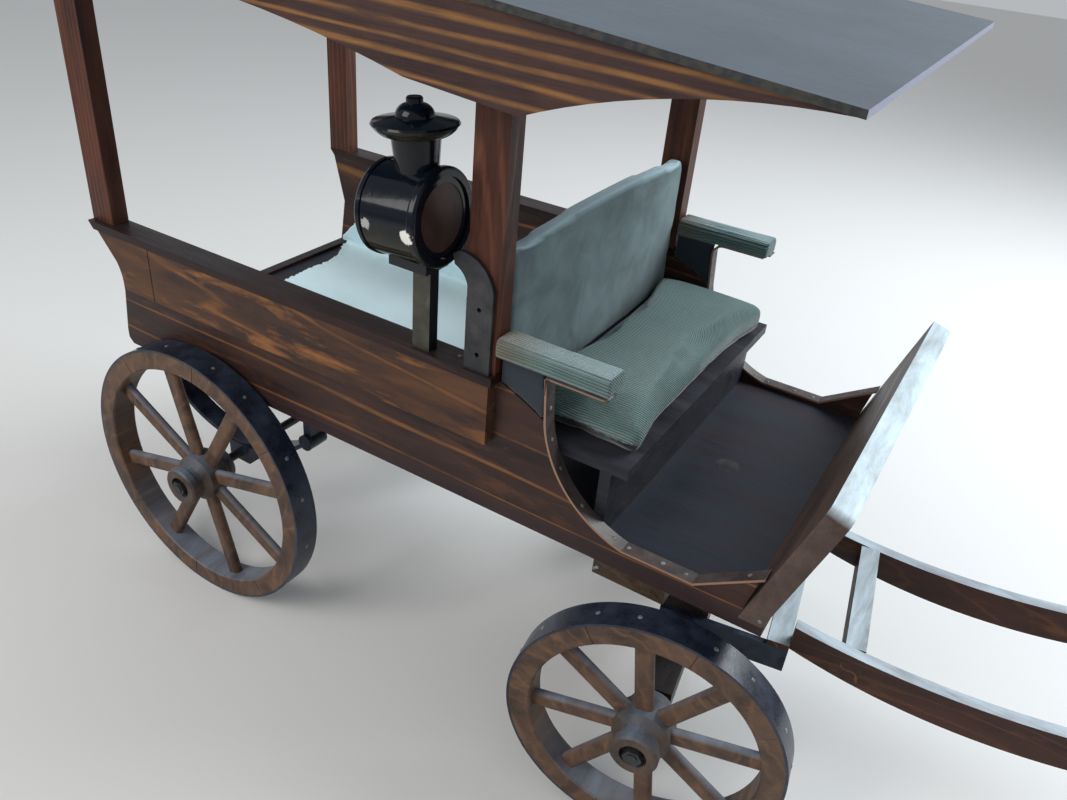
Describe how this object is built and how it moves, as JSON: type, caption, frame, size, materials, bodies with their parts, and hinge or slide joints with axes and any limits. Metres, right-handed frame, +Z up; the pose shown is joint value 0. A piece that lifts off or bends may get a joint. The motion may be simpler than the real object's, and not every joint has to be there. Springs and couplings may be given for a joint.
{
  "type": "wooden cart",
  "caption": "Four-wheeled wooden cart with an open body, a driver's seat, a flat roof on posts, a lamp, and shafts on a steered fore-carriage.",
  "frame": {"origin": "on the floor under the middle of the whole cart, from the roof's rear edge to the tips of the shafts", "axes": "+X forward, +Y to the cart's left, +Z up"},
  "size_m": [1.2383, 0.461, 0.7241],
  "materials": {
    "olive_wood": "matt",
    "brown_wood": "matt",
    "grey_wood": "matt",
    "red_wood": "matt",
    "black_iron": "matt",
    "bronze": "satin",
    "brown_glass": "gloss",
    "copper_leather": "satin",
    "teal_corduroy": "matt",
    "pale_cloth": "matt"
  },
  "bodies": {
    "body": {"armrest_left": "teal_corduroy", "armrest_right": "teal_corduroy", "bolster": "brown_wood", "floor_board": "brown_wood", "floor_cloth": "pale_cloth", "footwell_edging_left": "copper_leather", "footwell_edging_right": "copper_leather", "front_board": "olive_wood", "king_pin": "black_iron", "lamp_body_right": "bronze", "lamp_bracket_right": "black_iron", "lamp_glass_right": "brown_glass", "lamp_stand_right": "bronze", "post_front_left": "grey_wood", "post_front_right": "grey_wood", "post_rear_left": "olive_wood", "post_rear_right": "olive_wood", "rail_left": "grey_wood", "rail_right": "grey_wood", "rear_axle": "black_iron", "rear_spring_left": "black_iron", "rear_spring_right": "black_iron", "roof_battens": "grey_wood", "roof_board": "grey_wood", "roof_valance_left": "red_wood", "roof_valance_right": "red_wood", "seat_back": "pale_cloth", "seat_board": "brown_wood", "seat_cushion": "teal_corduroy", "seat_riser": "brown_wood", "side_board_left": "olive_wood", "side_board_right": "olive_wood", "side_panel_left": "olive_wood", "side_panel_right": "olive_wood", "tail_sill": "grey_wood"},
    "fore_carriage": {"axle_beam": "brown_wood", "cross_beam": "grey_wood", "draw_bars": "black_iron", "front_axle": "black_iron", "shaft_bar": "brown_wood", "shaft_left": "brown_wood", "shaft_right": "brown_wood", "turntable": "brown_wood"},
    "wheel_front_right": {"wheel_front_right_hub": "brown_wood", "wheel_front_right_rim": "brown_wood", "wheel_front_right_tyre": "black_iron"},
    "wheel_front_left": {"wheel_front_left_hub": "brown_wood", "wheel_front_left_rim": "brown_wood", "wheel_front_left_tyre": "black_iron"},
    "wheel_rear_right": {"wheel_rear_right_hub": "brown_wood", "wheel_rear_right_rim": "brown_wood", "wheel_rear_right_tyre": "black_iron"},
    "wheel_rear_left": {"wheel_rear_left_hub": "brown_wood", "wheel_rear_left_rim": "brown_wood", "wheel_rear_left_tyre": "black_iron"}
  },
  "joints": [
    {"name": "steering", "type": "hinge", "parent": "body", "child": "fore_carriage", "pos_m": [0.05935, 0, 0.124], "axis": [0, 0, 1], "range_deg": [-48.85, 31.15]},
    {"name": "wheel_front_right_spin", "type": "hinge", "parent": "fore_carriage", "child": "wheel_front_right", "pos_m": [0.0892, -0.19169, 0.124], "axis": [-0.1538, 0.9881, 0], "continuous": true},
    {"name": "wheel_front_left_spin", "type": "hinge", "parent": "fore_carriage", "child": "wheel_front_left", "pos_m": [0.0295, 0.19169, 0.124], "axis": [-0.1538, 0.9881, 0], "continuous": true},
    {"name": "wheel_rear_right_spin", "type": "hinge", "parent": "body", "child": "wheel_rear_right", "pos_m": [-0.44715, -0.194, 0.15], "axis": [0, 1, 0], "continuous": true},
    {"name": "wheel_rear_left_spin", "type": "hinge", "parent": "body", "child": "wheel_rear_left", "pos_m": [-0.44715, 0.194, 0.15], "axis": [0, 1, 0], "continuous": true}
  ]
}
